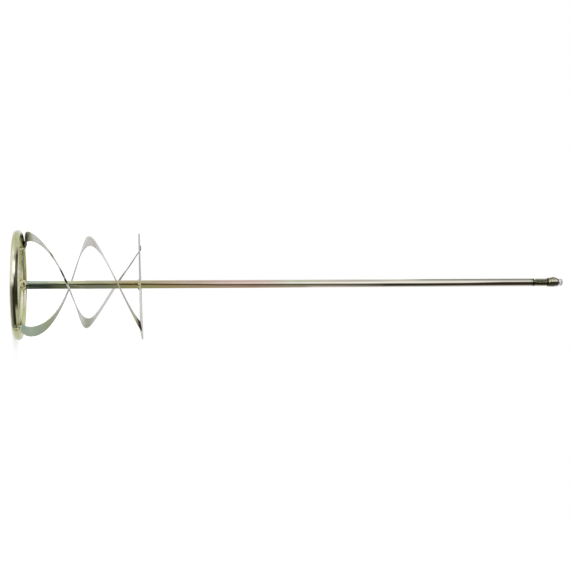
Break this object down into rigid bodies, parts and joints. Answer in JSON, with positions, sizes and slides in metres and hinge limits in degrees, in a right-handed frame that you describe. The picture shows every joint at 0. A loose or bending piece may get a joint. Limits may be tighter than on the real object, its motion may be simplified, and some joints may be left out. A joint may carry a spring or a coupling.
{
  "type": "mortar mixing paddle",
  "caption": "Welded mixing paddle: a round bottom ring with a spoke, helical ribbon blades wound up to a flat crossbar, and a long shaft with a slotted drive shank.",
  "frame": {"origin": "point on the floor below the shaft's axis, with the paddle standing on its bottom ring", "axes": "+Z along the shaft's axis from the bottom ring to the drive end; +X along the spoke of the bottom ring"},
  "size_m": [0.1202, 0.112, 0.6],
  "materials": {
    "shaft_zinc": "drawn steel rod, yellow-passivated zinc plate, bright with olive and rose tints",
    "ring_zinc": "steel rod and bar, yellow-passivated zinc plate, bright greenish yellow",
    "strip_zinc": "flat steel strip, thin yellow-passivated zinc plate, satin pale grey",
    "weld": "rippled weld bead under the same zinc plate, rough and slightly darker"
  },
  "bodies": {
    "root": {"shaft": "shaft_zinc", "base_ring": "ring_zinc", "ring_seam_weld": "weld", "ring_spoke": "ring_zinc", "blade_a": "strip_zinc", "blade_b": "strip_zinc", "top_crossbar": "strip_zinc", "shaft_foot_weld": "weld", "spoke_weld_left": "weld", "spoke_weld_right": "weld", "blade_root_weld_a": "weld", "blade_root_weld_b": "weld", "blade_top_weld_a": "weld", "blade_top_weld_b": "weld", "crossbar_weld": "weld"}
  },
  "joints": []
}
